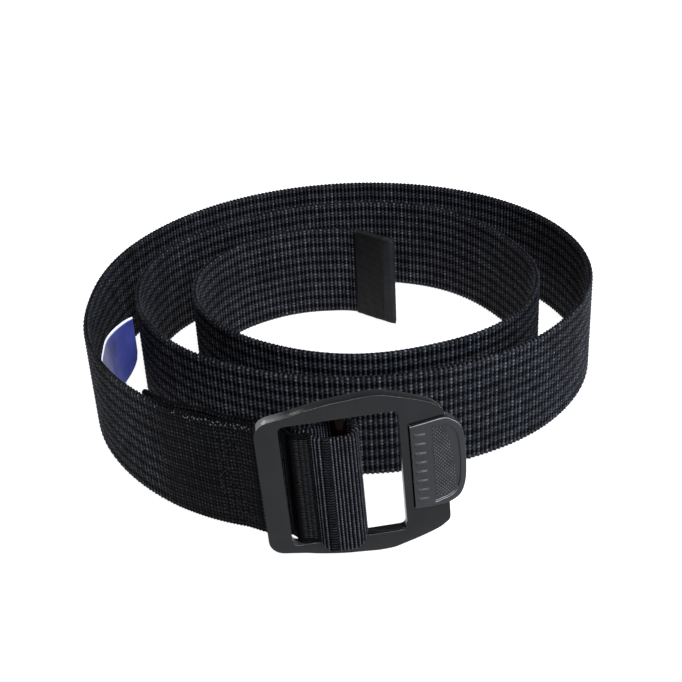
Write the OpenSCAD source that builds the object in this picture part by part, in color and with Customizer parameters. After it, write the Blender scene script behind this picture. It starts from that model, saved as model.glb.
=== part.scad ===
// Dive weight belt: one length of flat nylon webbing, coiled on its lower edge, with a
// friction frame buckle whose centre pin is held in a sewn loop at the outer end.
// Millimetres, +Z up, the buckle is toward -Y. Angles round the coil are counted in
// degrees from the front (-Y) toward the left (-X), and go on counting turn after turn.

/* [Webbing] */
// webbing width
webbing_w = 38; // [36:0.5:40]
// webbing thickness
webbing_t = 2.2; // [1.8:0.1:2.4]
// gap between the two sewn layers behind the buckle
layer_gap = 0.25; // [0.2:0.05:0.4]
// extra gap where the inner layer bows away beyond the stitches
layer_bow = 1.4; // [0:0.1:2]

/* [Buckle frame] */
// thickness of the frame
frame_t = 3.8; // [3.4:0.1:4.2]
// clear length of the window
window_l = 35; // [34:0.5:37]
// room above and below the webbing inside the window, both together
window_slack = 3.6; // [2:0.2:5]
// width of the bar at the webbing end
bar_w = 7; // [5:0.5:9]
// how far the buckle's lower edge hangs forward, in degrees
nod = 2.2; // [0:0.2:3]
// thickness left at the free end of the plate
plate_end_t = 2.5; // [2.3:0.1:3]
// gap between the webbing's lower edge and the lower rail
rail_gap = 0.35; // [0.3:0.05:0.8]

/* [Pin] */
// pin diameter
pin_d = 4; // [3:0.5:4]
// how deep the pin goes into the upper rail
pin_seat = 2.6; // [2:0.2:3]
// radius of the bosses behind the rails
boss_r = 3.4; // [3:0.1:4]

/* [Thumb plate] */
// height of the thumb plate above the frame's front face
thumb_raise = 1.0; // [0.6:0.1:1.4]
// depth of its seat in the frame
thumb_seat = 1.4; // [1:0.1:1.6]
// depth of the grip field inside the rim
field_deep = 0.7; // [0.3:0.1:0.8]
// number of grip bars beside the field
grip_bars = 8; // [3:1:8]

/* [Tip] */
// length of the sleeve on the free end
tip_l = 19; // [14:1:22]
// wall of the sleeve
tip_wall = 0.5; // [0.4:0.05:0.8]

/* [Label] */
// label height
label_h = 25; // [15:1:28]
// label thickness
label_t = 0.5; // [0.3:0.1:0.8]

/* [Hidden] */
$fn = 64;

// plan shift that puts the origin under the middle of the whole belt
plan_shift = [2.2, 5.63];

// ---- buckle sizes and pose
window_h = webbing_w + window_slack;
half_win = window_h / 2;
win_left = -17.3;
win_right = win_left + window_l;
rail_max = 6.0;
floor_gap = 0.2;
buckle_x = -5.2;
nod_shift = 0.364;
buckle_y = -106.4 - nod_shift * nod;
buckle_z = half_win + rail_max - floor_gap;
buckle_yaw = 5.7;
lean = 2.4;
pin_a = 0.6;
pin_depth = 2.55;
boss_h = 3.6;

// ---- rise of the webbing toward the buckle
slope = tan(lean);
loop_lift = buckle_z - half_win + rail_gap;
arc_per_deg = 101 * PI / 180;
pin_angle = 2.7;
ease = 12;
lift_end = pin_angle + ease / 2 + loop_lift / (slope * arc_per_deg);
function climb(a) = let (t = lift_end - a) t <= 0 ? 0 : min(1, t / ease);
function lift(a) = let (t = lift_end - a)
    t <= 0 ? 0 : slope * arc_per_deg * (t < ease ? t * t / (2 * ease) : t - ease / 2);

// ---- the webbing's lower edge comes forward with the buckle, and most where the loop
// bulges round the pin
bulge_nod = 4.2;
bulge_drop = 0.0;
function ease_in(t) = let (u = max(0, min(1, t))) u * u * (3 - 2 * u);
function nod_at(a) = nod * (1 - ease_in((a - 10) / 36));
function bulge(p) = ease_in((-104.6 - p[1]) / 4.4) * ease_in((p[0] + 13.6) / 3.2);

// ---- route of the coil: distance from the coil's middle every 30 degrees
turn_r = [103.5, 102.5, 97.5, 94.5, 97, 100, 101, 99.5, 95.5, 89, 80, 71.5,
          67, 67, 71.5, 77.5, 81.5, 79, 79, 78, 72, 69.5, 63.5, 55.5,
          52, 50, 52, 56.5, 59, 56.5, 51.5, 46];
function smooth(a, b, c, d, t) =
    b + t * ((c - a) / 2 + t * (a - 2.5 * b + 2 * c - d / 2 + t * (1.5 * (b - c) + (d - a) / 2)));
function coil_r(a) = let (i = max(0, min(len(turn_r) - 2, floor(a / 30))), t = a / 30 - i)
    smooth(turn_r[max(0, i - 1)], turn_r[i], turn_r[i + 1],
           turn_r[min(len(turn_r) - 1, i + 2)], t);
function polar(a, r) = [-r * sin(a), -r * cos(a)];
function angle_of(p) = atan2(-p[0], -p[1]);
function along(p, steps) = [for (i = [1 : len(p) - 3]) for (k = [0 : steps - 1])
    smooth(p[i - 1], p[i], p[i + 1], p[i + 2], k / steps)];

// tail: the inner layer, from its cut end to where it leaves the outer layer
tail_end = 42;
tail_near = 20;
bow_mid = 28;
bow_half = 6;
function bow(a) = abs(a - bow_mid) < bow_half ? pow(cos(90 * (a - bow_mid) / bow_half), 2) : 0;
function tail_r(a) = coil_r(a) - webbing_t - layer_gap - layer_bow * bow(a);
tail = [for (a = [tail_end : -2 : tail_near]) let (p = polar(a, tail_r(a))) [p[0], p[1], a]];

// loop round the pin, from the back round the right to the front; the two layers meet in
// the window, where they are bar-tacked, then pass behind the frame's left bar
loop_x = -4.75;
loop_y = -104.65;
loop_r = 4.35;
loop_back_points = [[-34.6, -94.6], [-30, -97.2], [-26, -98.4], [-23, -99.3], [-20.6, -100.2],
                    [-18.6, -101.9], [-17.7, -103.9], [-15.8, -104.45], [-13.9, -104.35],
                    [-12.2, -103.2], [-10.4, -101.5], [-8.2, -100.5], [-4.75, -100.3], [0, -100.3]];
loop_arc = [for (a = [90 : -15 : -90]) [loop_x + loop_r * cos(a), loop_y + loop_r * sin(a)]];
front_points = [[-1.5, -109.0], [-4.75, -109.0], [-9.4, -109.3], [-11.4, -108.9], [-12.9, -107.5],
                [-14.6, -106.9], [-17.2, -107.0], [-18.8, -106.7], [-19.7, -105.2], [-21.1, -103.1],
                [-23.1, -102.0], [-26.3, -101.3], [-30, -100.3], [-35.4, -97.2]];
function keep_angle(p) = [for (q = p) [q[0], q[1], angle_of(q)]];
loop_back = keep_angle([for (q = along(loop_back_points, 4)) if (q[0] < loop_x - 0.4) q]);
front = keep_angle([for (q = along(front_points, 4)) if (q[0] < loop_x - 0.4) q]);

// coil, then the straight end inside the tip sleeve
coil_from = 20;
coil_to = 888;
coil = [for (a = [coil_from : 4 : coil_to]) let (p = polar(a, coil_r(a))) [p[0], p[1], a]];
tip_x = 19;
tip_y = 37.5;
tip_turn = -40;
flat = 900;
function tip_point(s) = [tip_x + s * cos(tip_turn), tip_y + s * sin(tip_turn), flat];
tip_curve = [for (q = along([polar(884, coil_r(884)), polar(888, coil_r(888)), [-3, 52.2],
    [1.2, 51.4], tip_point(-tip_l - 1), tip_point(-tip_l + 3)], 4))
    if (q[0] > polar(888, coil_r(888))[0] + 0.5) [q[0], q[1], flat]];
route = concat(tail, loop_back, keep_angle(loop_arc), front, coil, tip_curve,
               [tip_point(-tip_l - 0.8), tip_point(-tip_l / 2), tip_point(-1)]);

// ---- one closed ribbon swept along a route
function unit(v) = v / norm(v);
function heading(p, i) = unit([for (k = [0, 1]) p[min(len(p) - 1, i + 1)][k] - p[max(0, i - 1)][k]]);
function ring(p, i, w, t) = let (
    c = p[i], h = heading(p, i), n = [-h[1], h[0], 0] * t / 2,
    d = [cos(c[2]), -sin(c[2])] * slope * climb(c[2]),
    o = [-sin(c[2]), -cos(c[2])], k = tan(nod_at(c[2]) + bulge_nod * bulge(c)),
    up = unit([-d[0] - k * o[0], -d[1] - k * o[1], 1]) * w / 2,
    f = nod_shift * nod_at(c[2]),
    m = [c[0] + f * o[0], c[1] + f * o[1], lift(c[2]) - bulge_drop * bulge(c) + up[2]])
    [m - up - n, m - up + n, m + up + n, m + up - n];
module ribbon(p, w, t) {
    n = len(p);
    sides = [for (i = [0 : n - 2]) for (k = [0 : 3]) for (f = [0, 1])
        let (a = 4 * i + k, b = 4 * i + (k + 1) % 4)
        f == 0 ? [a, b, b + 4] : [a, b + 4, a + 4]];
    polyhedron(points = [for (i = [0 : n - 1]) each ring(p, i, w, t)],
        faces = concat([[3, 2, 1, 0]], sides,
                       [[for (k = [0 : 3]) 4 * (n - 1) + k]]));
}

// ---- 2D helpers for the buckle: x along the buckle, y up
module rounded(x0, x1, half_h, r) {
    for (s = [-1, 1]) for (x = [x0 + r, x1 - r]) translate([x, s * (half_h - r)]) circle(r);
    translate([x0 + r, -half_h]) square([x1 - x0 - 2 * r, 2 * half_h]);
    translate([x0, -half_h + r]) square([x1 - x0, 2 * half_h - 2 * r]);
}
module slab(front, back) {
    translate([0, back, 0]) rotate([90, 0, 0]) linear_extrude(back - front) children();
}
module buckle_place() {
    translate([buckle_x, buckle_y, buckle_z]) rotate([0, 0, buckle_yaw]) rotate([0, -lean, 0])
        rotate([-nod, 0, 0]) children();
}

// upper edge of the frame: distance along the buckle, height above the window's edge
left_edge = win_left - bar_w;
corner_r = 5;
left_rail = 2.1;
rail_line = [[-14, 3.0], [-9, 4.1], [-2, 5.2], [4.5, 5.7], [8.5, 6.0], [13, 5.8], [16, 5.0],
             [21.5, 3.3], [27, 1.2], [29.5, -0.4], [30.7, -1.6], [31, -3.2], [31, -6], [31, -9]];
left_corner = [for (a = [180 : -9 : 99]) [left_edge + corner_r * (1 + cos(a)),
    half_win + left_rail - corner_r * (1 - sin(a))]];
rail_curve = along([for (q = concat([[-20, 2.0]], rail_line)) [q[0], half_win + q[1]]], 4);
edge_top = concat(left_corner, rail_curve);
module frame_outline() {
    n = len(edge_top);
    polygon(concat(edge_top, [for (i = [n - 1 : -1 : 0]) [edge_top[i][0], -edge_top[i][1]]]));
}

// thumb plate outline, clockwise from its lower left corner
thumb_left = 20.1;
thumb_line = [[20.1, -13.2], [20.1, 15.6], [25, 16.4], [30.5, 17.2], [33, 16.2], [35, 14.4],
              [36.1, 11.5], [36.5, 6], [36.5, 0], [36, -5.5], [34.5, -9.7], [32, -11.8],
              [29, -12.8], [24, -13.2]];
thumb_curve = concat([thumb_line[0], thumb_line[1]],
    along([for (i = [1 : 13]) thumb_line[i]], 4), [thumb_line[12], thumb_line[13]]);
module thumb_outline() { polygon(thumb_curve); }

// grip field: inside the rim on the right, bounded by a straight step on the left
field_line = [[25.9, 10], [25.9, 14.6], [29, 15.3], [31.6, 14.8], [33.4, 13.0], [34.4, 10.4],
              [34.8, 5], [34.8, 0], [34.4, -4.6], [33.2, -8.2], [31.2, -10.1], [28.6, -11.0],
              [25.9, -11.3], [25.9, -5]];
field_curve = along(field_line, 4);

module webbing_strap() {
    color("#1c1c1e") ribbon(route, webbing_w, webbing_t);
}

module buckle_frame() {
    color("#2a2a2e") buckle_place() difference() {
        union() {
            slab(0, frame_t) difference() {
                frame_outline();
                rounded(win_left, win_right, half_win, 1.75);
            }
            intersection() {
                translate([pin_a, pin_depth, 0]) for (s = [-1, 1])
                    translate([0, 0, s > 0 ? half_win : -half_win - boss_h]) cylinder(r = boss_r, h = boss_h);
                translate([-20, 0.2, -40]) cube([40, 20, 80]);
            }
        }
        // the plate thins toward its free end
        translate([win_right, frame_t, -40])
            rotate([0, 0, -atan((frame_t - plate_end_t) / (31 - win_right))]) cube([40, 10, 80]);
        // seat of the thumb plate
        slab(-5, thumb_seat) thumb_outline();
        // blind pin hole above, through hole below
        translate([pin_a, pin_depth, half_win - 1]) cylinder(d = pin_d, h = pin_seat + 1);
        translate([pin_a, pin_depth, -half_win - 9]) cylinder(d = pin_d, h = 10);
    }
}

module centre_pin() {
    end = 0.8;
    color("#55504e") buckle_place() translate([pin_a, pin_depth, -half_win - rail_max + end])
        cylinder(d = pin_d, h = window_h + rail_max - end + pin_seat);
}

module thumb_plate() {
    pitch = 3.2;
    raise = 0.45;
    color("#303036") buckle_place() {
        difference() {
            slab(-thumb_raise, thumb_seat) thumb_outline();
            slab(-thumb_raise - 1, -thumb_raise + field_deep) polygon(field_curve);
        }
        // short raised bars that give the thumb a hold
        for (i = [0 : grip_bars - 1])
            translate([21.2, -thumb_raise - raise, 1.1 + (i - (grip_bars - 1) / 2) * pitch - 0.55])
                cube([3.3, raise + 0.2, 1.1]);
        // lip that hangs past the end of the frame
        difference() {
            slab(thumb_seat, plate_end_t) thumb_outline();
            translate([0, 0, -40]) cube([31.1, 10, 80]);
        }
    }
}

module strap_tip() {
    gap = 0.05;
    w = webbing_t + 2 * gap;
    color("#35343c") translate([tip_x, tip_y, 0]) rotate([0, 0, tip_turn]) difference() {
        translate([-tip_l, -w / 2 - tip_wall, 0]) cube([tip_l, w + 2 * tip_wall, webbing_w]);
        translate([-tip_l - 1, -w / 2, -1]) cube([tip_l + 0.05, w, webbing_w + 2]);
    }
}

module loop_stitching() {
    bar = 1.2;
    proud = 0.3;
    margin = 4;
    deep = 2 * webbing_t + layer_gap + 2 * proud;
    color("#8a8a90") {
        // rows to the left of the frame
        for (i = [0 : 3]) {
            a = 19.6 + i * 1.25;
            r = coil_r(max(a, coil_from)) + nod_shift * nod_at(a);
            rotate([0, 0, -a]) translate([0, -r, lift(a) + webbing_w / 2])
                rotate([0, -lean, 0]) rotate([-nod_at(a), 0, 0])
                    translate([-bar / 2, -webbing_t / 2 - proud, margin - webbing_w / 2])
                        cube([bar, deep, webbing_w - 2 * margin]);
        }
        // bar tack inside the window
        for (x = [-14.7, -16.2, -17.7]) {
            a = angle_of([x, -106.9]);
            translate([x, -106.97 - nod_shift * nod, lift(a) + webbing_w / 2])
                rotate([0, -lean, 0]) rotate([-nod, 0, 0])
                    translate([-bar / 2, -webbing_t / 2 - proud, margin - webbing_w / 2])
                        cube([bar, deep, webbing_w - 2 * margin]);
        }
    }
}

// label route: along the webbing's inner face, then free
label_from = 43.6;
label_to = 55.6;
label_back = 0.2;
label_free = [[-83.2, -47], [-84, -38], [-83.5, -28], [-82, -20.5], [-80, -15], [-78, -12.5],
              [-75, -11]];
label_sewn = [for (a = [label_from - 3 : 3 : label_to])
    polar(a, coil_r(a) - webbing_t / 2 - label_back - label_t / 2)];
label_route = [for (q = along(concat(label_sewn, label_free), 3)) q];
module care_label() {
    n = len(label_route);
    side = [for (s = [-1, 1]) [for (i = [0 : n - 1]) let (h = heading(label_route, i))
        label_route[i] + s * label_t / 2 * [-h[1], h[0]]]];
    color("#3d5f9e") translate([0, 0, 11]) linear_extrude(label_h)
        polygon(concat(side[0], [for (i = [n - 1 : -1 : 0]) side[1][i]]));
}

module label_stitching() {
    rows = 2;
    step = 1.4;
    bar = 0.8;
    proud = 0.3;
    bite = 0.4;
    color("#c8ccd6") for (i = [0 : rows - 1]) {
        a = label_from + 1 + i * step;
        face = coil_r(a) - webbing_t / 2;
        rotate([0, 0, -a]) translate([-bar / 2, -face - bite, 12.5])
            cube([bar, bite + label_back + label_t + proud, label_h - 3]);
    }
}

module placed() { translate([plan_shift[0], plan_shift[1], 0]) children(); }
placed() webbing_strap();
placed() buckle_frame();
placed() centre_pin();
placed() thumb_plate();
placed() strap_tip();
placed() loop_stitching();
placed() care_label();
placed() label_stitching();
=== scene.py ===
# Looks of the dive weight belt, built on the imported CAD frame. Lengths are millimetres, except for
# the softboxes and the floor, which are in metres.
import math
import bmesh
import bpy
import numpy as np
from mathutils import Matrix, Vector


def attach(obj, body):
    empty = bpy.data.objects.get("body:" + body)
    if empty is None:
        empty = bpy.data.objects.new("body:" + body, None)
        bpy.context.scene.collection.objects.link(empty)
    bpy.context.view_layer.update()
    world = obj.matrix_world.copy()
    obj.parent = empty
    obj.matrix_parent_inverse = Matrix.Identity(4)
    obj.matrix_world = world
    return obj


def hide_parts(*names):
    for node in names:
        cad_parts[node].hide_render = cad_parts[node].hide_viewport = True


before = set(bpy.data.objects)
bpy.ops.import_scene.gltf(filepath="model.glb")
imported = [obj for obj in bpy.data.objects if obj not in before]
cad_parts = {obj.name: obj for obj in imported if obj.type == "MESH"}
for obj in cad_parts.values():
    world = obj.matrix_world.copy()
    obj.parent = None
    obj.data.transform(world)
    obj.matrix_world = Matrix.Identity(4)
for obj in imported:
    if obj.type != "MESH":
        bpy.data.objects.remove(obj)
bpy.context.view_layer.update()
MM = 0.001
SHIFT = np.array([2.2, 5.63])          # plan shift of the belt, as in the CAD
rng = np.random.default_rng(7)

# ------------------------------------------------------------------ camera and light
CAMERA_PLACE = Vector((-1.53, -390.15, 232.11))
CAMERA_PITCH, CAMERA_ROLL = 28.84, -3.16               # degrees
SENSOR, LENS = 36, 63.35
pitch, roll = math.radians(CAMERA_PITCH), math.radians(CAMERA_ROLL)
ahead = Vector((0, math.cos(pitch), -math.sin(pitch)))
level, upward = Vector((1, 0, 0)), Vector((0, math.sin(pitch), math.cos(pitch)))
right = math.cos(roll) * level + math.sin(roll) * upward
over = -math.sin(roll) * level + math.cos(roll) * upward
cam_data = bpy.data.cameras.new("camera")
cam_data.sensor_width, cam_data.lens = SENSOR, LENS
cam = bpy.data.objects.new("camera", cam_data)
axes = Matrix((right, over, -ahead)).transposed()
cam.matrix_world = Matrix.Translation(CAMERA_PLACE * MM) @ axes.to_4x4()
bpy.context.collection.objects.link(cam)
bpy.context.scene.camera = cam


def area_light(name, place, target, size, watts, colour):
    data = bpy.data.lights.new(name, "AREA")
    data.shape, data.size, data.size_y = "RECTANGLE", size[0], size[1]
    data.energy, data.color = watts, colour
    lamp = bpy.data.objects.new(name, data)
    lamp.location = place
    lamp.rotation_euler = (Vector(target) - Vector(place)).to_track_quat("-Z", "Y").to_euler()
    bpy.context.collection.objects.link(lamp)


# name, place, aim and size in metres, watts, colour
SOFTBOXES = (
    ("top_softbox", (0.0, 0.25, 1.8), (0, 0, 0), (2.4, 2.4), 6.5, (1.0, 0.99, 0.98)),
    ("front_softbox", (0.32, -0.76, 0.92), (0, 0, 0.02), (0.46, 0.34), 19.5, (0.97, 0.985, 1.0)),
    ("front_right_softbox", (0.66, -0.86, 0.46), (0, 0, 0.02), (0.4, 0.4), 5.6, (0.52, 0.75, 1.0)),
    ("back_left_softbox", (-0.70, 1.05, 0.75), (0, -0.05, 0.04), (0.4, 0.35), 4.5, (1.0, 1.0, 1.0)),
)
for softbox in SOFTBOXES:
    area_light(*softbox)
bpy.context.scene.view_settings.view_transform = "Standard"
world = bpy.data.worlds.new("studio")
bpy.context.scene.world = world
world.use_nodes = True
sky = world.node_tree.nodes["Background"].inputs
sky["Color"].default_value = (0.96, 0.97, 1.0, 1)
sky["Strength"].default_value = 0.27


# ------------------------------------------------------------------ materials
class Nodes:
    """Short way to write a node material."""
    def __init__(self, name):
        self.mat = bpy.data.materials.new(name)
        self.mat.use_nodes = True
        self.tree = self.mat.node_tree
        self.shader = self.tree.nodes["Principled BSDF"]

    def add(self, kind, **values):
        node = self.tree.nodes.new(kind)
        for key, value in values.items():
            if hasattr(node, key):
                setattr(node, key, value)
            else:
                node.inputs[key.replace("_", " ")].default_value = value
        return node

    def link(self, a, b):
        self.tree.links.new(a, b)

    def feed(self, **outputs):
        """Links outputs to the shader's sockets."""
        for key, output in outputs.items():
            self.link(output, self.shader.inputs[key.replace("_", " ")])

    def set(self, **values):
        for key, value in values.items():
            self.shader.inputs[key.replace("_", " ")].default_value = value

    def ramp(self, source, stops):
        ramp = self.add("ShaderNodeValToRGB")
        while len(ramp.color_ramp.elements) < len(stops):
            ramp.color_ramp.elements.new(0.5)
        for element, (at, colour) in zip(ramp.color_ramp.elements, stops):
            element.position = at
            element.color = (*colour, 1)
        self.link(source, ramp.inputs["Fac"])
        return ramp.outputs["Color"]

    def noise(self, scale, detail=3.0, rough=0.5):
        tex = self.add("ShaderNodeTexNoise")
        tex.inputs["Scale"].default_value = scale
        tex.inputs["Detail"].default_value = detail
        tex.inputs["Roughness"].default_value = rough
        self.link(self.add("ShaderNodeTexCoord").outputs["Object"], tex.inputs["Vector"])
        return tex.outputs["Fac"]

    def mix(self, a, b, factor, mode="MIX"):
        node = self.add("ShaderNodeMix", data_type="RGBA", blend_type=mode)
        for socket, value in ((node.inputs[0], factor), (node.inputs[6], a), (node.inputs[7], b)):
            if hasattr(value, "is_output"):
                self.link(value, socket)
            elif isinstance(value, (int, float)):
                socket.default_value = value
            else:
                socket.default_value = (*value, 1)
        return node.outputs[2]

    def math(self, op, a, b=0.0):
        node = self.add("ShaderNodeMath", operation=op)
        for socket, value in zip(node.inputs, (a, b)):
            if hasattr(value, "is_output"):
                self.link(value, socket)
            else:
                socket.default_value = value
        return node.outputs[0]

    def bump(self, height, strength, distance):
        node = self.add("ShaderNodeBump")
        node.inputs["Strength"].default_value = strength
        node.inputs["Distance"].default_value = distance
        self.link(height, node.inputs["Height"])
        return node.outputs["Normal"]

    def attribute(self, name):
        return self.add("ShaderNodeAttribute", attribute_name=name).outputs["Fac"]


def greys(low, high, start=0.3, end=0.7):
    """Two stops of a grey ramp."""
    return [(start, (low,) * 3), (end, (high,) * 3)]


def tints(colour, low, high):
    """Two stops that make a colour darker and lighter."""
    return [(0.3, tuple(low * c for c in colour)), (0.7, tuple(high * c for c in colour))]


def webbing_material():
    m = Nodes("webbing")
    # the weave attribute sets the colour: painted shade in the grooves and painted highlight on the rib tops
    base = m.ramp(m.attribute("weave"), [
        (0.0, (0.0002, 0.0002, 0.0003)), (0.3, (0.0013, 0.0013, 0.0015)), (0.5, (0.0090, 0.0093, 0.0109)),
        (0.78, (0.039, 0.0402, 0.0465)), (1.0, (0.122, 0.126, 0.145))])
    patches = m.ramp(m.noise(70, 5, 0.65), greys(0.65, 1.3))
    threads_tone = m.ramp(m.noise(1300, 3, 0.7), [(0.32, (0.45, 0.45, 0.46)), (0.68, (1.65, 1.65, 1.7))])
    colour = m.mix(m.mix(base, patches, 1.0, "MULTIPLY"), threads_tone, 1.0, "MULTIPLY")
    m.feed(Base_Color=colour, Roughness=m.ramp(m.noise(900, 2), greys(0.42, 0.62)),
           Normal=m.bump(m.noise(3200, 2), 0.35, 0.0002))
    m.set(Specular_IOR_Level=0.02)
    return m.mat


def black_metal(name, colour, rough, grain, level, edge=(0.0, 0.0, 0.0)):
    """Black coating; the attribute "edge" marks the painted highlight, where it turns to the paler edge colour."""
    m = Nodes(name)
    tone = m.ramp(m.noise(140, 4, 0.6), tints(colour, 0.85, 1.15))
    # painted highlight: the "edge" attribute lightens the coating to the paler edge colour
    painted_highlight = m.math("MULTIPLY", m.attribute("edge"), m.ramp(m.noise(160, 2), greys(0.55, 1.0, 0.35, 0.65)))
    m.feed(Base_Color=m.mix(tone, edge, painted_highlight),
           Roughness=m.ramp(m.noise(500, 3), greys(rough - 0.05, rough + 0.06)),
           Normal=m.bump(m.noise(grain, 2), 0.012, 0.0002))
    m.set(Metallic=0.0, Specular_IOR_Level=level)
    return m.mat


def thread_material(name, colour, rough=0.5):
    m = Nodes(name)
    m.feed(Base_Color=m.ramp(m.noise(1800, 3, 0.6), tints(colour, 0.6, 1.3)),
           Normal=m.bump(m.noise(4000, 2), 0.3, 0.0001))
    m.set(Roughness=rough, Specular_IOR_Level=0.15)
    return m.mat


def tip_material():
    m = Nodes("tip_tape")
    body = m.ramp(m.noise(260, 4, 0.6), [(0.3, (0.0020, 0.0020, 0.0023)), (0.7, (0.0046, 0.0046, 0.005))])
    light = m.ramp(m.noise(200, 3), [(0.3, (0.0078, 0.0076, 0.0095)), (0.7, (0.0125, 0.0122, 0.015))])
    m.feed(Base_Color=m.mix(body, light, m.attribute("band")),
           Roughness=m.ramp(m.noise(700, 2), greys(0.5, 0.62)),
           Normal=m.bump(m.noise(1600, 3), 0.15, 0.0002))
    m.set(Specular_IOR_Level=0.12)
    return m.mat


def label_material():
    m = Nodes("label_satin")
    blue = m.ramp(m.noise(120, 3), [(0.3, (0.015, 0.020, 0.125)), (0.7, (0.036, 0.046, 0.24))])
    inked = m.mix(blue, (0.010, 0.012, 0.06), m.attribute("marks"))
    m.feed(Base_Color=m.mix(inked, (0.78, 0.80, 0.92), m.attribute("selvage")),
           Normal=m.bump(m.noise(2500, 2), 0.2, 0.0001))
    m.set(Roughness=0.34, Sheen_Weight=0.12, Specular_IOR_Level=0.3)
    return m.mat


def floor_material():
    m = Nodes("floor")
    m.feed(Base_Color=m.ramp(m.noise(3, 2), [(0.3, (0.30, 0.30, 0.302)), (0.7, (0.34, 0.34, 0.342))]))
    m.set(Roughness=0.7, Specular_IOR_Level=0.2, Emission_Color=(1, 1, 1, 1), Emission_Strength=0.93)
    return m.mat


# ------------------------------------------------------------------ mesh helpers
def new_object(name, mesh, body, material, node=()):
    obj = bpy.data.objects.new(name, mesh)
    bpy.context.collection.objects.link(obj)
    if body:
        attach(obj, body)
        if node:
            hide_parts(*node)
    mesh.materials.clear()
    mesh.materials.append(material)
    return obj


def quad_mesh(name, verts, quads, smooth=True):
    mesh = bpy.data.meshes.new(name)
    mesh.vertices.add(len(verts))
    mesh.vertices.foreach_set("co", (np.asarray(verts) * MM).astype(np.float32).ravel())
    mesh.loops.add(4 * len(quads))
    mesh.loops.foreach_set("vertex_index", np.asarray(quads, np.int32).ravel())
    mesh.polygons.add(len(quads))
    mesh.polygons.foreach_set("loop_start", np.arange(len(quads), dtype=np.int32) * 4)
    mesh.polygons.foreach_set("use_smooth", np.full(len(quads), smooth))
    mesh.update(calc_edges=True)
    mesh.validate()
    return mesh


def attribute(mesh, name, values, domain="POINT"):
    data = mesh.attributes.new(name, "FLOAT", domain).data
    data.foreach_set("value", np.asarray(values, np.float32).ravel())


def ring_quads(stations, ring):
    i, j = np.meshgrid(np.arange(stations - 1), np.arange(ring), indexing="ij")
    k = (j + 1) % ring
    corners = [i * ring + j, i * ring + k, (i + 1) * ring + k, (i + 1) * ring + j]
    return np.stack(corners, -1).reshape(-1, 4)


def cap_quads(first, ring):
    """Closes a ring whose points mirror about its two ends (columns up one face, down the other)."""
    half = ring // 2
    j = np.arange(half)
    return np.stack([first + j, first + (ring - j) % ring, first + (ring - j - 1) % ring, first + j + 1], -1)


def closed_strip(name, rings, attributes):
    """A closed solid from rings of points, each ring going up one face and down the other."""
    n, ring = rings.shape[:2]
    quads = [ring_quads(n, ring)[:, ::-1], cap_quads(0, ring)[:, ::-1], cap_quads((n - 1) * ring, ring)]
    mesh = quad_mesh(name, rings.reshape(-1, 3), np.concatenate(quads))
    for key, values in attributes.items():
        attribute(mesh, key, values)
    return mesh


def refined(name, node, width, material, body):
    """A bevelled copy of a CAD piece: the same shape with its edges eased."""
    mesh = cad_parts[node].data.copy()
    bm = bmesh.new()
    bm.from_mesh(mesh)
    bmesh.ops.remove_doubles(bm, verts=bm.verts, dist=2e-6)
    bmesh.ops.dissolve_limit(bm, angle_limit=math.radians(0.6), verts=bm.verts, edges=bm.edges)
    bm.to_mesh(mesh)
    bm.free()
    obj = new_object(name, mesh, body, material, (node,))
    bevel = obj.modifiers.new("bevel", "BEVEL")
    bevel.width, bevel.segments, bevel.limit_method = width * MM, 3, "ANGLE"
    bevel.angle_limit = math.radians(28)
    bevel.use_clamp_overlap = True
    mesh.materials.append(material)
    bevel.material = 1                    # marks the bevel's own faces, for highlight_paint_of()
    graph = bpy.context.evaluated_depsgraph_get()
    done = bpy.data.meshes.new_from_object(obj.evaluated_get(graph))
    obj.modifiers.clear()
    obj.data = done
    done.polygons.foreach_set("use_smooth", np.ones(len(done.polygons), bool))
    done.set_sharp_from_angle(angle=math.radians(38))
    attribute(done, "edge", highlight_paint_of(name, done), "CORNER")
    done.polygons.foreach_set("material_index", np.zeros(len(done.polygons), np.int32))
    done.materials.pop()
    return obj


def highlight_paint_of(name, mesh):
    """How much painted highlight each face corner gets: most on the eased edges that face up, toward the lamps."""
    up = buckle_space().to_3x3() @ Vector((0, -0.35, 0.94))
    space = buckle_space().inverted()
    highlight_paint = []
    for f in mesh.polygons:
        spot, facing = space @ (f.center / MM), f.normal.dot(up)
        on_bar = 20.8 < spot.x < 24.9 and spot.y < -0.9 and spot.z < 14.6
        # painted highlight on the eased edges that face up, weaker on the thumb plate's bars
        painted_highlight = (0.22 if on_bar else 1.0) if f.material_index == 1 and facing > 0.50 else 0.0
        corners = np.full(f.loop_total, painted_highlight)
        if name == "frame_eased" and facing > 0.6:
            # the upper side is painted paler toward its left end, a painted highlight
            x = np.array([(space @ (mesh.vertices[k].co / MM)).x for k in f.vertices])
            corners = np.maximum(corners, 0.60 * np.clip((-14 - x) / 12, 0, 1))
        highlight_paint.append(corners)
    return np.concatenate(highlight_paint)


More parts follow.
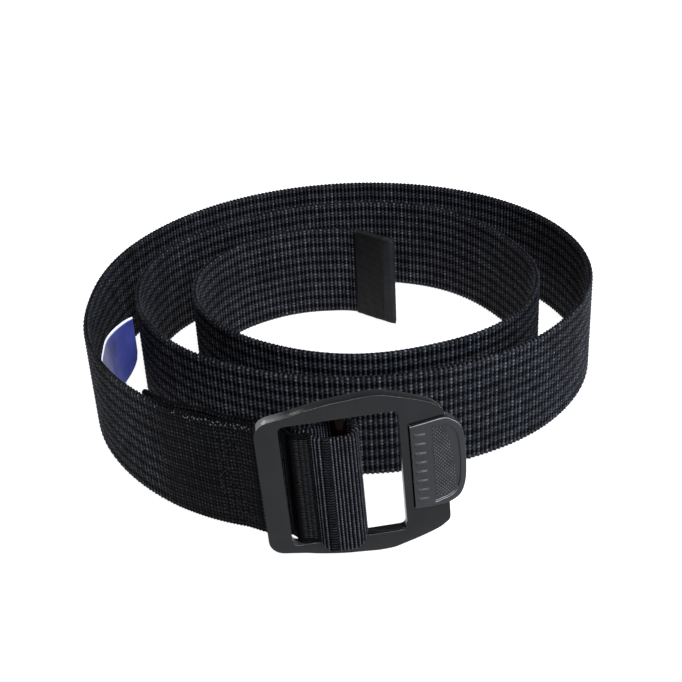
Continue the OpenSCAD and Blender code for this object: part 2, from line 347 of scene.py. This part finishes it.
# ------------------------------------------------------------------ route of the webbing
# The route is the CAD's, but the loop's front part hangs lower here, by BULGE_DROP. In the CAD the drop
# is 0, because the buckle's lower rail would meet the webbing as the buckle turns.
WIDTH, THICK = 38.0, 2.2
LAYER_GAP, LAYER_BOW = 0.25, 1.4
LEAN = 2.4
SLOPE = math.tan(math.radians(LEAN))
NOD, NOD_SHIFT, BULGE_NOD, BULGE_DROP = 2.2, 0.364, 4.2, 1.5
BUCKLE = np.array([-5.2, -106.4 - NOD_SHIFT * NOD, 26.6])
YAW = 5.7
WINDOW_HALF, LOOP_CLEAR = 20.8, 0.35
LOOP_LIFT = BUCKLE[2] - WINDOW_HALF + LOOP_CLEAR
EASE = 12.0
PER_DEG = 101 * math.pi / 180
LIFT_END = 2.7 + EASE / 2 + LOOP_LIFT / (SLOPE * PER_DEG)
TURN_R = np.array([103.5, 102.5, 97.5, 94.5, 97, 100, 101, 99.5, 95.5, 89, 80, 71.5,
                   67, 67, 71.5, 77.5, 81.5, 79, 79, 78, 72, 69.5, 63.5, 55.5,
                   52, 50, 52, 56.5, 59, 56.5, 51.5, 46])


def curve(a, b, c, d, t):
    """Catmull-Rom curve from b to c."""
    return b + t * ((c - a) / 2 + t * (a - 2.5 * b + 2 * c - d / 2 + t * (1.5 * (b - c) + (d - a) / 2)))


def coil_r(angle):
    angle = np.asarray(angle, float)
    last = len(TURN_R) - 1
    i = np.clip(np.floor(angle / 30).astype(int), 0, last - 1)
    before, after = TURN_R[np.maximum(i - 1, 0)], TURN_R[np.minimum(i + 2, last)]
    return curve(before, TURN_R[i], TURN_R[i + 1], after, angle / 30 - i)


def polar(angle, radius):
    a = np.radians(angle)
    return np.stack([-radius * np.sin(a), -radius * np.cos(a)], -1)


def along(points, steps):
    p = np.asarray(points, float)
    t = np.arange(steps)[:, None] / steps
    return np.concatenate([curve(p[i - 1], p[i], p[i + 1], p[i + 2], t) for i in range(1, len(p) - 2)])


def angle_of(p):
    return np.degrees(np.arctan2(-p[:, 0], -p[:, 1]))


def climb(a):
    return np.clip((LIFT_END - a) / EASE, 0, 1)


def lift(a):
    t = np.maximum(LIFT_END - a, 0)
    return SLOPE * PER_DEG * np.where(t < EASE, t * t / (2 * EASE), t - EASE / 2)


def step(x, lo, hi):
    t = np.clip((x - lo) / (hi - lo), 0, 1)
    return t * t * (3 - 2 * t)


def nod_at(a):
    return NOD * (1 - step(a, 10, 46))


def bulge(p):
    return step(-p[:, 1], 104.6, 109.0) * step(p[:, 0], -13.6, -10.4)


TIP, TIP_TURN, TIP_L = np.array([19.0, 37.5]), -40.0, 19.0
tip_dir = np.array([math.cos(math.radians(TIP_TURN)), math.sin(math.radians(TIP_TURN))])
a = np.arange(42, 20, -0.25)
bow = np.where(abs(a - 28) < 6, np.cos(np.radians(90 * (a - 28) / 6)) ** 2, 0)
tail = polar(a, coil_r(a) - THICK - LAYER_GAP - LAYER_BOW * bow)
LOOP, LOOP_R = np.array([-4.75, -104.65]), 4.35
back = along([[-34.6, -94.6], [-30, -97.2], [-26, -98.4], [-23, -99.3], [-20.6, -100.2], [-18.6, -101.9],
              [-17.7, -103.9], [-15.8, -104.45], [-13.9, -104.35], [-12.2, -103.2], [-10.4, -101.5],
              [-8.2, -100.5], [-4.75, -100.3], [0, -100.3]], 30)
t = np.radians(np.arange(90, -91, -2))
arc = LOOP + LOOP_R * np.stack([np.cos(t), np.sin(t)], -1)
front = along([[-1.5, -109.0], [-4.75, -109.0], [-9.4, -109.3], [-11.4, -108.9], [-12.9, -107.5], [-14.6, -106.9],
               [-17.2, -107.0], [-18.8, -106.7], [-19.7, -105.2], [-21.1, -103.1], [-23.1, -102.0], [-26.3, -101.3],
               [-30, -100.3], [-35.4, -97.2]], 30)
coil_a = np.arange(20, 888, 0.25)
coil = polar(coil_a, coil_r(coil_a))
bend = along([polar(884, coil_r(884)), polar(888, coil_r(888)), [-3, 52.2], [1.2, 51.4],
              TIP - (TIP_L + 1) * tip_dir, TIP - (TIP_L - 3) * tip_dir], 30)
straight = np.stack([TIP + s * tip_dir for s in np.arange(-TIP_L - 0.5, -0.8, 0.5)])
back, front = back[back[:, 0] < LOOP[0] - 0.2], front[front[:, 0] < LOOP[0] - 0.2]
xy = np.concatenate([tail, back, arc, front, coil, bend, straight])
inmost = np.full(len(bend) + len(straight), 900.0)
ang = np.concatenate([a, angle_of(back), angle_of(arc), angle_of(front), coil_a, inmost])
# even spacing, then a light smoothing that takes the corners out of the joins
STEP = 0.1
s = np.concatenate([[0], np.cumsum(np.linalg.norm(np.diff(xy, axis=0), axis=1))])
keep = np.concatenate([[True], np.diff(s) > 1e-6])
even = np.arange(0, s[-1], STEP)
path = np.stack([np.interp(even, s[keep], q[keep]) for q in (xy[:, 0], xy[:, 1], ang)], -1)
kernel = np.exp(-0.5 * (np.arange(-40, 41) / 6.0) ** 2)
kernel /= kernel.sum()
padded = np.concatenate([2 * path[:1] - path[40:0:-1], path, 2 * path[-1:] - path[-2:-42:-1]])
path = np.stack([np.convolve(padded[:, k], kernel, "valid") for k in range(3)], -1)
head = np.gradient(path[:, :2], axis=0)
head /= np.linalg.norm(head, axis=1)[:, None]
length = len(path) * STEP
s_axis = np.arange(len(path)) * STEP


def at(s_mm):
    """Centre (at half width), sideways and upward directions at distances along the webbing."""
    p = np.stack([np.interp(s_mm, s_axis, path[:, k]) for k in range(3)], -1)
    h = np.stack([np.interp(s_mm, s_axis, head[:, k]) for k in range(2)], -1)
    h /= np.linalg.norm(h, axis=1)[:, None]
    r = np.radians(p[:, 2])
    d = np.stack([np.cos(r), -np.sin(r)], -1) * (SLOPE * climb(p[:, 2]))[:, None]
    out = np.stack([-np.sin(r), -np.cos(r)], -1)
    forward = np.tan(np.radians(nod_at(p[:, 2]) + BULGE_NOD * bulge(p)))[:, None]
    up = np.concatenate([-d - forward * out, np.ones((len(p), 1))], 1)
    up /= np.linalg.norm(up, axis=1)[:, None]
    place = p[:, :2] + SHIFT + NOD_SHIFT * nod_at(p[:, 2])[:, None] * out
    z = lift(p[:, 2]) - BULGE_DROP * bulge(p) + WIDTH / 2 * up[:, 2]
    centre = np.concatenate([place, z[:, None]], 1)
    side = np.stack([-h[:, 1], h[:, 0], np.zeros(len(p))], -1)
    return centre, side, up


def at_one(s_mm):
    """Centre, sideways, upward and forward directions at one distance."""
    centre, side, up = (q[0] for q in at(np.array([s_mm])))
    return centre, side, up, np.cross(up, side)


LOOP_SPOT, LOOP_REACH = (-5.9, -105.2), 7.5          # the part of the route that counts as the loop
near_loop = np.hypot(path[:, 0] - LOOP_SPOT[0], path[:, 1] - LOOP_SPOT[1]) < LOOP_REACH
loop_from, loop_to = s_axis[near_loop][0], s_axis[near_loop][-1]


# how the weave changes along the belt: plain ribs in the coil, fine ribs in the loop, flattened where sewn
in_loop = step(s_axis, loop_from - 14, loop_from - 2) * (1 - step(s_axis, loop_to + 7, loop_to + 16))
sewn = (1 - in_loop) * (1 - step(s_axis, loop_to + 48, loop_to + 64))
pitch_here = 1.67 - 0.60 * in_loop - 0.50 * sewn
depth_here = 0.72 - 0.30 * in_loop - 0.42 * sewn


phase_axis = np.concatenate([[0], np.cumsum(STEP / pitch_here[:-1])])


def s_front(x):
    """Distance along the webbing where the front of the loop, or what follows it, passes x."""
    start = max(loop_from + 8, s_axis[path[:, 1].argmin()] - 8)
    pick = (s_axis > start) & (path[:, 1] < -100)
    return s_axis[pick][np.argmin(np.abs(path[pick, 0] - x))]


# ------------------------------------------------------------------ woven webbing
RIB_ROWS, WEB_COLS = 3, 132             # rows of points per rib, columns across a face
BLOCK = 3.95                            # height of one block of the weave
BEAD, LOOP_BEAD, SEWN_LINE = BLOCK / 3, 0.86, 1.3


def weave_zones(s_mm):
    """How much of the weave at a distance along the webbing is loop, sewn, weft band and bar tack."""
    loopy = np.interp(s_mm, s_axis, in_loop)
    flat = np.interp(s_mm, s_axis, sewn)
    mid_band = (s_front(-8.3) + s_front(-10.0)) / 2
    tack = step(s_mm, s_front(-12.8), s_front(-13.6)) * (1 - step(s_mm, s_front(-20.2), s_front(-21.4)))
    plain = np.maximum(1 - step(np.abs(s_mm - mid_band), 0.8, 1.4), tack)
    return [zone[:, None] for zone in (loopy, flat, plain, tack)]


def weave_height(s_mm, ph, vv, rib, zones):
    """Height of the weave, 0 in the grooves to 1 on the ribs."""
    loopy, flat, plain, _ = zones
    loose = 1 - loopy
    beads = np.cos(2 * np.pi * vv / BEAD) * np.cos(np.pi * ph)
    small = np.cos(2 * np.pi * vv / LOOP_BEAD) * np.cos(np.pi * ph)
    off = (vv / BLOCK - np.round(vv / BLOCK)) * BLOCK
    notch = np.exp(-(off / 0.95) ** 4)
    tex = rib * (0.83 + 0.17 * beads * loose + 0.28 * small * (1 - loose) * (1 - plain)) * (1 - 0.16 * loose * notch)
    tex += (1 - rib) * 0.46 * (1 - notch) * (0.72 + 0.28 * np.cos(2 * np.pi * vv / BEAD)) * loose
    # a band of the loop shows the weft instead of ribs
    weft = 0.36 + 0.26 * np.cos(2 * np.pi * vv / LOOP_BEAD + 1.3 * np.sin(ph * 1.9))
    tex = tex * (1 - plain) + weft * plain
    # flattened, slightly wrinkled where the layers are sewn together
    lines = 0.5 + 0.5 * np.cos(2 * np.pi * vv / SEWN_LINE + 0.8 * np.sin(s_mm[:, None] * 0.35))
    return tex * (1 - 0.5 * flat) + 0.5 * flat * (0.08 + 0.86 * lines * (0.4 + 0.6 * rib))


def build_webbing(material):
    phase = np.arange(0.25, phase_axis[-1], 1 / RIB_ROWS)
    s_mm = np.interp(phase, phase_axis, s_axis)
    centre, side, up = at(s_mm)
    depth = np.interp(s_mm, s_axis, depth_here)[:, None]
    zones = weave_zones(s_mm)
    loose, flat, tack = 1 - zones[0], zones[1], zones[3]
    v = np.linspace(-WIDTH / 2, WIDTH / 2, WEB_COLS + 1)
    wobble = 0.10 * np.sin(s_mm * 0.21) + 0.07 * np.sin(s_mm * 0.47 + 1.0)
    # inside the tip sleeve the webbing is a little narrower, so that the sleeve covers it
    squeeze = 1 - 0.014 * step(s_mm, length - TIP_L - 1.5, length - TIP_L + 1)[:, None]
    rings, shades = [], []
    for face in (1, -1):
        use = v if face == 1 else v[-2:0:-1]
        ph = phase[:, None] + (0 if face == 1 else 0.5)
        vv = use[None, :] + wobble[:, None]
        rib = np.clip(0.48 + 0.62 * np.cos(2 * np.pi * ph), 0, 1)
        tex = weave_height(s_mm, ph, vv, rib, zones)
        edge = WIDTH / 2 - np.abs(use)[None, :]
        round_off = np.sqrt(1 - (1 - np.clip(edge / 1.1, 0, 1)) ** 2)
        half = (THICK / 2 - depth * (1 - tex)) * round_off
        at_edge = 1 - step(edge, 0.0, 1.6)
        dip = at_edge * (0.42 * (1 - rib) * (0.5 + 0.5 * loose))
        height = (use[None, :] - np.sign(use)[None, :] * dip) * squeeze
        rings.append(centre[:, None, :] + face * half[..., None] * side[:, None, :]
                     + height[..., None] * up[:, None, :])
        # every second rib is a little duller; the sewn parts and the bar tack are darker with painted shade
        dull_and_shaded = 1 - 0.05 * loose * (1 - np.cos(np.pi * ph)) - 0.24 * flat - 0.34 * tack
        # no two blocks of a rib catch the light alike
        cell = np.sin(np.floor(ph + 0.5) * 12.9898 + np.round(vv / BLOCK) * 78.233) * 43758.5453
        uneven = 0.90 + 0.17 * (cell - np.floor(cell))
        shades.append(np.clip(tex * dull_and_shaded * uneven, 0, 1) * (0.94 + 0.06 * step(edge, -0.2, 1.0)))
    # the shades hold painted shade and highlight, kept in the "weave" attribute
    mesh = closed_strip("webbing", np.concatenate(rings, 1), {"weave": np.concatenate(shades, 1)})
    return new_object("webbing_woven", mesh, "belt", material, ("webbing_strap",))


# ------------------------------------------------------------------ sleeve on the free end
def build_tip(material):
    round_end = 1.2
    rows_end = round_end * np.sin(np.linspace(0.1, 1, 8) * np.pi / 2)
    us = np.concatenate([np.linspace(0, TIP_L - round_end, 60), TIP_L - round_end + rows_end])
    cols = 44
    v = np.linspace(-WIDTH / 2 + 0.02, WIDTH / 2 - 0.02, cols + 1)
    rings, bands = [], []
    across = np.array([-tip_dir[1], tip_dir[0]])
    for face in (1, -1):
        use = v if face == 1 else v[-2:0:-1]
        u, w = us[:, None], use[None, :]
        start = step(u, 0.0, 1.0)
        end = np.sqrt(1 - np.clip((u - (TIP_L - round_end)) / round_end, 0, 0.995) ** 2)
        edge = WIDTH / 2 - np.abs(w)
        soft = np.sqrt(1 - (1 - np.clip(edge / 1.2, 0.0, 1)) ** 2)
        wave = 0.05 * np.sin(w * 1.9 + u * 0.5) + 0.05 * np.sin(u * 1.3 + w * 0.31)
        fold = -0.18 * np.exp(-((u - (TIP_L - 4.4)) / 0.35) ** 2)
        half = (1.15 + 0.45 * start + wave + fold) * soft * end
        place = TIP + SHIFT - (TIP_L - u)[..., None] * tip_dir + (face * half)[..., None] * across
        z = np.broadcast_to(w + WIDTH / 2, half.shape)
        rings.append(np.concatenate([place, z[..., None]], -1))
        bands.append(np.broadcast_to(step(u, TIP_L - 4.6, TIP_L - 4.1), half.shape))
    mesh = closed_strip("tip", np.concatenate(rings, 1), {"band": np.concatenate(bands, 1)})
    return new_object("tip_sleeve", mesh, "belt", material, ("strap_tip",))


# ------------------------------------------------------------------ stitches: short bent threads on a face
def threads(name, stitches, radius, material, node):
    """Each stitch is its middle, its run (a half length vector) and its outward normal."""
    rows, sides = 7, 6
    t = np.linspace(-1, 1, rows)
    verts, quads = [], []
    turn = np.linspace(0, 2 * np.pi, sides, endpoint=False)
    for m, r, n in stitches:
        m, r, n = np.array(m), np.array(r), np.array(n)
        cross = np.cross(r / np.linalg.norm(r), n)
        centre = m + t[:, None] * r + (radius * (1 - t ** 2) - 0.6 * radius)[:, None] * n
        wide = radius * np.sqrt(np.clip(1.02 - t ** 2, 0.05, 1)) ** 0.5
        round_it = np.cos(turn)[None, :, None] * cross + np.sin(turn)[None, :, None] * n
        ring = centre[:, None, :] + wide[:, None, None] * round_it
        first = len(verts) * rows * sides
        verts.append(ring.reshape(-1, 3))
        q = ring_quads(rows, sides) + first
        ends = np.array([[0, 1, 2, 3], [0, 3, 4, 5]])
        quads.append(np.concatenate([q, ends[:, ::-1] + first, ends + first + (rows - 1) * sides]))
    mesh = quad_mesh(name, np.concatenate(verts), np.concatenate(quads))
    return new_object(name, mesh, "belt", material, node)


def s_at_angle(angle, layer):
    """Distance along the webbing of the outer layer (or the tail) at an angle near the buckle."""
    pick = (s_axis > loop_to + 3) if layer == "outer" else (s_axis < loop_from - 3)
    idx = np.where(pick & (np.abs(path[:, 2] - angle) < 1.0))[0]
    return s_axis[idx[np.argmin(np.abs(path[idx, 2] - angle))]]


def build_loop_stitches(material):
    stitches = []
    # short crossing stitches in soft columns left of the frame, on both faces
    for layer in ("outer", "inner"):
        for k in range(5):
            c, sd, up, h = at_one(s_at_angle(18.4 + 1.3 * k, layer))
            for i, z in enumerate(np.arange(-15.5, 15.6, 0.95)):
                jitter = rng.normal(0, 0.34, 2)
                slant = 0.45 * h * (1 if (i + k) % 2 else -1) + 0.28 * up
                stitches.append((c + (z + jitter[0]) * up + sd * 0.92 + h * jitter[1],
                                 slant * rng.uniform(0.7, 1.1), sd))
    # bar tack inside the window: close threads laid along the belt
    for k, x in enumerate((-14.9, -16.3, -17.7)):
        c, sd, up, h = at_one(s_front(x))
        for z in np.arange(-16.8, 16.9, 0.58):
            jitter = rng.normal(0, 0.05, 2)
            stitches.append((c + (z + 0.19 * k + jitter[0]) * up + sd * 0.86 + h * jitter[1],
                             0.78 * h + 0.06 * rng.choice([-1, 1]) * up, sd))
    # one row across the tail's cut end
    c, sd, up, _ = at_one(s_at_angle(36.5, "outer"))
    for z in np.arange(-16.5, 16.6, 1.8):
        stitches.append((c + z * up + sd * 0.90, 0.62 * up, sd))
    return threads("loop_bar_tacks", stitches, 0.19, material, ("loop_stitching",))


def build_edge_stitches(material):
    """Short, broken specks of thread along the upper edge of the sewn part."""
    stitches = []
    for i, a0 in enumerate(np.arange(15.6, 37.0, 0.5)):
        s0 = s_at_angle(a0 + rng.normal(0, 0.12), "outer")
        if rng.random() < 0.12 + 0.4 * (a0 > 30):
            continue
        c, sd, up, h = at_one(s0)
        place = c + (WIDTH / 2 - 1.9 + 0.7 * (i % 2) + rng.normal(0, 0.3)) * up + sd * 0.90
        stitches.append((place, rng.uniform(0.15, 0.4) * up + rng.uniform(-0.35, 0.35) * h, sd))
    return threads("edge_stitches", stitches, 0.15, material, ())


# ------------------------------------------------------------------ care label
# the label's free part, which bows a little further out than the CAD's strip
LABEL_FREE = [[-83.4, -47], [-84.8, -38], [-84.9, -28], [-83.4, -20], [-80.9, -14.6], [-78, -11.9], [-75, -10.6]]
# plain printed marks: start along the label, and how far they reach across it
LABEL_MARKS = ((30, 0.3, 0.8), (36, 0.35, 0.85), (41, 0.5, 0.8), (45.5, 0.45, 0.85), (48.6, 0.5, 0.75),
               (51.2, 0.35, 0.8), (53.6, 0.55, 0.85))
LABEL_CORNER = 10


def label_path():
    a = np.arange(43.6 - 3, 55.7, 3)
    sewn_part = polar(a, coil_r(a) - THICK / 2 - 0.2 - 0.25)
    return along(np.concatenate([sewn_part, LABEL_FREE]), 14)


def build_label(material):
    p = label_path()
    q = np.concatenate([[0], np.cumsum(np.linalg.norm(np.diff(p, axis=0), axis=1))])
    us = np.linspace(0, q[-1], 120)
    c = np.stack([np.interp(us, q, p[:, k]) for k in (0, 1)], -1)
    h = np.gradient(c, axis=0)
    h /= np.linalg.norm(h, axis=1)[:, None]
    side = np.stack([-h[:, 1], h[:, 0]], -1)
    w = np.linspace(0, 1, 41)
    f = us / q[-1]
    top = 38.6 - 3.2 * step(f, 0.15, 0.8)
    low = 13.5 - 2.5 * step(f, 0.1, 0.8)
    # the free lower corner is rounded
    to_end = np.clip((q[-1] - us) / LABEL_CORNER, 0, 1)
    low = low + LABEL_CORNER * (1 - np.sqrt(np.clip(1 - (1 - to_end) ** 2, 0, 1)))
    rings, selvage, marks = [], [], []
    for face in (1, -1):
        use = w if face == 1 else w[-2:0:-1]
        u, v = us[:, None], use[None, :]
        z = low[:, None] + (top - low)[:, None] * v
        wave = 0.35 * np.sin(u * 0.25 + v * 2.2) * step(f, 0.35, 0.9)[:, None]
        xy = c[:, None, :] + (wave + face * 0.14)[..., None] * side[:, None, :] + SHIFT
        rings.append(np.concatenate([xy, z[..., None]], -1))
        selvage.append(np.broadcast_to(step(use, 0.955, 0.975), z.shape))
        ink = np.zeros(z.shape)
        for start, lo, hi in LABEL_MARKS:
            bar = step(u, start - 0.4, start) * (1 - step(u, start + 1.0, start + 1.4))
            ink = np.maximum(ink, bar * (v > lo) * (v < hi))
        marks.append(ink * 0.85)
    shades = {"selvage": np.concatenate(selvage, 1), "marks": np.concatenate(marks, 1)}
    mesh = closed_strip("label", np.concatenate(rings, 1), shades)
    obj = new_object("label_ribbon", mesh, "belt", material, ("care_label",))
    return obj


def build_label_stitches(material):
    stitches = []
    for a0 in (44.6, 46.0):
        c = polar(a0, float(coil_r(a0)) - THICK / 2 - 0.62) + SHIFT
        out = -polar(a0, 1.0)
        stitches += [((c[0], c[1], z), (0, 0, 0.55), (out[0], out[1], 0)) for z in np.arange(13.5, 37.5, 1.5)]
    return threads("label_stitches", stitches, 0.16, material, ("label_stitching",))


# ------------------------------------------------------------------ buckle
def buckle_space():
    """From the buckle's own directions, with +x to the thumb plate and -y to the front, to the scene."""
    yaw, lean = math.radians(YAW), math.radians(-LEAN)
    origin = Vector((BUCKLE[0] + SHIFT[0], BUCKLE[1] + SHIFT[1], BUCKLE[2]))
    turned = Matrix.Translation(origin) @ Matrix.Rotation(yaw, 4, "Z") @ Matrix.Rotation(lean, 4, "Y")
    return turned @ Matrix.Rotation(math.radians(-NOD), 4, "X")


def build_knurl(material):
    """Small pointed bumps in diagonal rows on the grip field of the thumb plate."""
    place = buckle_space()
    verts, quads = [], []
    field_y, pitch_mm, tall = -0.3, 1.22, 0.42
    half = pitch_mm / 2
    reach = half * 0.92
    for i in range(-40, 41):
        for j in range(-40, 41):
            x, z = 29.6 + (i + j) * half * 0.9, 1.2 + (i - j) * half
            if not (26.9 < x < 32.9 - max(0.0, z) * 0.12 and -10.2 + max(0, x - 30.5) * 0.6 < z < 13.6):
                continue
            base = len(verts)
            for y, size in ((field_y + 0.05, 1), (field_y - tall, 0.25)):
                for dx, dz in ((-reach, 0), (0, -reach), (reach, 0), (0, reach)):
                    verts.append((x + size * dx, y, z + size * dz))
            quads.append((base + 4, base + 5, base + 6, base + 7))
            quads.append((base + 3, base + 2, base + 1, base))
            for k in range(4):
                quads.append((base + k, base + (k + 1) % 4, base + 4 + (k + 1) % 4, base + 4 + k))
    mesh = quad_mesh("knurl", np.array([list(place @ Vector(p)) for p in verts]), quads, smooth=False)
    # painted highlight: the bumps' tops get the paler edge colour
    attribute(mesh, "edge", np.tile([0, 0, 0, 0, 0.30, 0.30, 0.30, 0.30], len(verts) // 8))
    return new_object("thumb_knurl", mesh, "buckle", material, ())


def seat_gap(obj):
    """Draws the thumb plate's left and upper edges in a little, so a dark line shows round its seat."""
    right_end, low_end = 36.5, -13.2          # these two ends of the plate stay
    wide, high = 16.4, 30.4
    place = buckle_space()
    back = place.inverted()
    for vert in obj.data.vertices:
        p = back @ (vert.co / MM)
        p.x = right_end - (right_end - p.x) * (1 - 0.42 / wide)
        p.z = low_end + (p.z - low_end) * (1 - 0.40 / high)
        vert.co = (place @ p) * MM


web = webbing_material()
# colour, roughness, grain, specular level and colour of the painted edge highlights
metal = black_metal("buckle_coating", (0.0068, 0.0068, 0.0076), 0.20, 2600, 0.16, (0.34, 0.34, 0.345))
thumb_metal = black_metal("thumb_coating", (0.013, 0.013, 0.0148), 0.22, 2200, 0.24, (0.24, 0.24, 0.245))
pin_metal = black_metal("pin_coating", (0.0017, 0.0002, 0.0004), 0.16, 900, 0.03)
dark_thread = thread_material("thread_dark", (0.0030, 0.0030, 0.0034), 0.45)
grey_thread = thread_material("thread_grey", (0.105, 0.105, 0.112))
light_thread = thread_material("thread_light", (0.60, 0.61, 0.66))

build_webbing(web)
build_tip(tip_material())
build_loop_stitches(dark_thread)
build_edge_stitches(grey_thread)
build_label(label_material())
build_label_stitches(light_thread)
refined("frame_eased", "buckle_frame", 0.45, metal, "buckle")
seat_gap(refined("thumb_eased", "thumb_plate", 0.25, thumb_metal, "buckle"))
build_knurl(thumb_metal)
# the pin shows as it is in the CAD; the others are hidden behind their finer copies
for name, mat in (("centre_pin", pin_metal), ("webbing_strap", web), ("buckle_frame", metal),
                  ("thumb_plate", thumb_metal)):
    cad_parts[name].data.materials.clear()
    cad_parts[name].data.materials.append(mat)

# ------------------------------------------------------------------ floor
floor_mesh = bpy.data.meshes.new("floor")
corners = [(x, y, -0.0004) for x, y in ((-40, -40), (40, -40), (40, 40), (-40, 40))]
floor_mesh.from_pydata(corners, [], [(0, 1, 2, 3)])
floor = bpy.data.objects.new("floor", floor_mesh)
bpy.context.collection.objects.link(floor)
floor_mesh.materials.append(floor_material())
